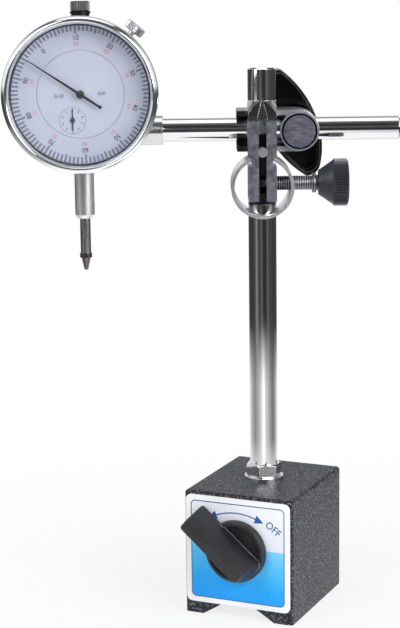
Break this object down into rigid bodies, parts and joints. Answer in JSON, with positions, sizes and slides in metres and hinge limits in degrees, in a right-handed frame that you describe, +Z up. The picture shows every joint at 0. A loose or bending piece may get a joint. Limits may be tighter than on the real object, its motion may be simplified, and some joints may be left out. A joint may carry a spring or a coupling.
{
  "type": "dial test indicator",
  "caption": "Dial indicator with turning bezel, held by a lug on a chromed bar, fine-adjust post and switchable magnetic base.",
  "frame": {"origin": "centre of the magnetic base's footprint, on the surface that it stands on", "axes": "+Z up along the column; -Y out of the base's switch face; +X to the right of someone facing the switch"},
  "size_m": [0.1449, 0.1316, 0.2639],
  "materials": {
    "crinkle_paint": "black hammered paint",
    "divider_paint": "black paint over the brass divider",
    "label": "printed aluminium plate, white to sky blue",
    "turned_brass": "turned",
    "plug_aluminium": "turned",
    "ferrite": "sintered ferrite",
    "soft_iron": "machined",
    "knob_plastic": "moulded",
    "chrome_rod": "polished",
    "chrome_small": "bright",
    "chrome_nut": "bright, slightly worn",
    "chrome_post": "polished rod, satin fork faces",
    "pin_steel": "turned",
    "spring_steel": "rolled",
    "clamp_steel": "pressed and plated",
    "eye_steel": "turned face, dark edge",
    "screw_steel": "dark, threaded",
    "knurled_chrome": "knurled",
    "wing_plastic": "moulded",
    "chrome_bar": "polished",
    "holder_chrome": "plated",
    "bolt_steel": "plated",
    "case_chrome": "satin chrome",
    "cover_steel": "satin",
    "stem_steel": "ground",
    "bush_black": "black oxide",
    "cap_black": "black, knurled",
    "dial_face": "matt pale grey-blue with black print",
    "bezel_chrome": "polished",
    "spacer_steel": "satin",
    "crystal": "clear acrylic window",
    "lock_chrome": "knurled",
    "spindle_steel": "ground",
    "point_steel": "dark turned steel",
    "hand_dark": "dark blue-purple",
    "hair_steel": "blued"
  },
  "bodies": {
    "base": {"pole_left": "crinkle_paint", "pole_right": "crinkle_paint", "pole_divider": "divider_paint", "label_plate": "label", "front_bush": "turned_brass", "rear_plug": "plug_aluminium"},
    "switch": {"switch_shaft": "turned_brass", "rotor_magnet": "ferrite", "rotor_shoes": "soft_iron", "switch_knob": "knob_plastic"},
    "column": {"lower_column": "chrome_rod", "column_washer": "chrome_small", "lock_nut": "chrome_nut"},
    "tilt_head": {"tilt_post": "chrome_post", "pivot_pin": "pin_steel", "spring_ring": "spring_steel", "clamp_shell": "clamp_steel", "eye_bolt": "eye_steel"},
    "fine_adjuster": {"fine_screw": "screw_steel", "fine_screw_head": "knurled_chrome"},
    "wing": {"wing_knob": "wing_plastic", "wing_insert": "turned_brass"},
    "bar": {"cross_bar": "chrome_bar"},
    "holder": {"holder_link": "holder_chrome", "pinch_screw": "knurled_chrome", "lug_bolt": "bolt_steel", "lug_nut": "bolt_steel"},
    "gauge": {"gauge_case": "case_chrome", "back_cover": "cover_steel", "cover_screws": "bolt_steel", "stem": "stem_steel", "guide_bushes": "turned_brass", "top_bush": "bush_black", "dust_cap": "cap_black", "dial_center": "dial_face", "front_bridge": "turned_brass", "rear_bridge": "turned_brass", "bridge_pillars": "turned_brass"},
    "bezel_group": {"bezel": "bezel_chrome", "dial_ring": "dial_face", "dial_spacer": "spacer_steel", "crystal": "crystal"},
    "bezel_screw": {"bezel_lock": "lock_chrome"},
    "spindle_group": {"spindle": "spindle_steel", "contact_point": "point_steel", "guide_pin": "pin_steel", "return_spring": "spring_steel"},
    "main_hand": {"center_pinion": "pin_steel", "main_pointer": "hand_dark"},
    "counter": {"counter_wheel": "turned_brass", "rack_pinion": "pin_steel", "small_pointer": "hand_dark"},
    "take_up": {"take_up_wheel": "turned_brass", "hairspring": "hair_steel"}
  },
  "joints": [
    {"name": "switch_turn", "type": "hinge", "parent": "base", "child": "switch", "pos_m": [0, 0, 0.031], "axis": [0, 1, 0], "range_deg": [0, 90]},
    {"name": "column_turn", "type": "hinge", "parent": "base", "child": "column", "pos_m": [0, 0, 0.06], "axis": [0, 0, 1], "range_deg": [-180, 180]},
    {"name": "fine_tilt", "type": "hinge", "parent": "column", "child": "tilt_head", "pos_m": [0, 0, 0.1995], "axis": [-0.4099, 0.9121, 0], "range_deg": [-1.5, 1.5]},
    {"name": "fine_screw_turn", "type": "hinge", "parent": "tilt_head", "child": "fine_adjuster", "pos_m": [0, 0, 0.1855], "axis": [0.9121, 0.4099, 0], "range_deg": [-135, 135]},
    {"name": "wing_turn", "type": "hinge", "parent": "tilt_head", "child": "wing", "pos_m": [0.01459, 0.00656, 0.2075], "axis": [-0.4099, 0.9121, 0], "continuous": true},
    {"name": "bar_slide", "type": "slide", "parent": "tilt_head", "child": "bar", "axis": [0.9121, 0.4099, 0], "range_m": [-0.03, 0.025]},
    {"name": "holder_turn", "type": "hinge", "parent": "bar", "child": "holder", "pos_m": [-0.00553, 0.01231, 0.2075], "axis": [0.9121, 0.4099, 0], "continuous": true},
    {"name": "gauge_tilt", "type": "hinge", "parent": "holder", "child": "gauge", "pos_m": [0.00738, -0.01642, 0.2273], "axis": [0.9121, 0.4099, 0], "range_deg": [-45, 45]},
    {"name": "bezel_turn", "type": "hinge", "parent": "gauge", "child": "bezel_group", "pos_m": [-0.0675, -0.03033, 0.2273], "axis": [0.4099, -0.9121, 0], "continuous": true},
    {"name": "bezel_lock_turn", "type": "hinge", "parent": "gauge", "child": "bezel_screw", "pos_m": [-0.0413, -0.05726, 0.24262], "axis": [0.5863, 0.2635, 0.766], "continuous": true},
    {"name": "spindle_slide", "type": "slide", "parent": "gauge", "child": "spindle_group", "axis": [0, 0, 1], "range_m": [0, 0.01], "stiffness_N_per_m": 40, "springref_m": -0.02},
    {"name": "main_hand_turn", "type": "hinge", "parent": "gauge", "child": "main_hand", "pos_m": [-0.0675, -0.03033, 0.2273], "axis": [0.4099, -0.9121, 0], "range_deg": [-3605, 5]},
    {"name": "counter_turn", "type": "hinge", "parent": "gauge", "child": "counter", "pos_m": [-0.07064, -0.03175, 0.21685], "axis": [0.4099, -0.9121, 0], "range_deg": [-5, 365]},
    {"name": "take_up_turn", "type": "hinge", "parent": "gauge", "child": "take_up", "pos_m": [-0.06436, -0.02892, 0.23775], "axis": [0.4099, -0.9121, 0], "range_deg": [-5, 365]}
  ],
  "couplings": [
    {"joint": "fine_screw_turn", "follows": "fine_tilt", "ratio": 87.965},
    {"joint": "counter_turn", "follows": "spindle_slide", "rad_per_m": 628.32},
    {"joint": "main_hand_turn", "follows": "spindle_slide", "rad_per_m": -6283.2},
    {"joint": "take_up_turn", "follows": "spindle_slide", "rad_per_m": 628.32}
  ]
}
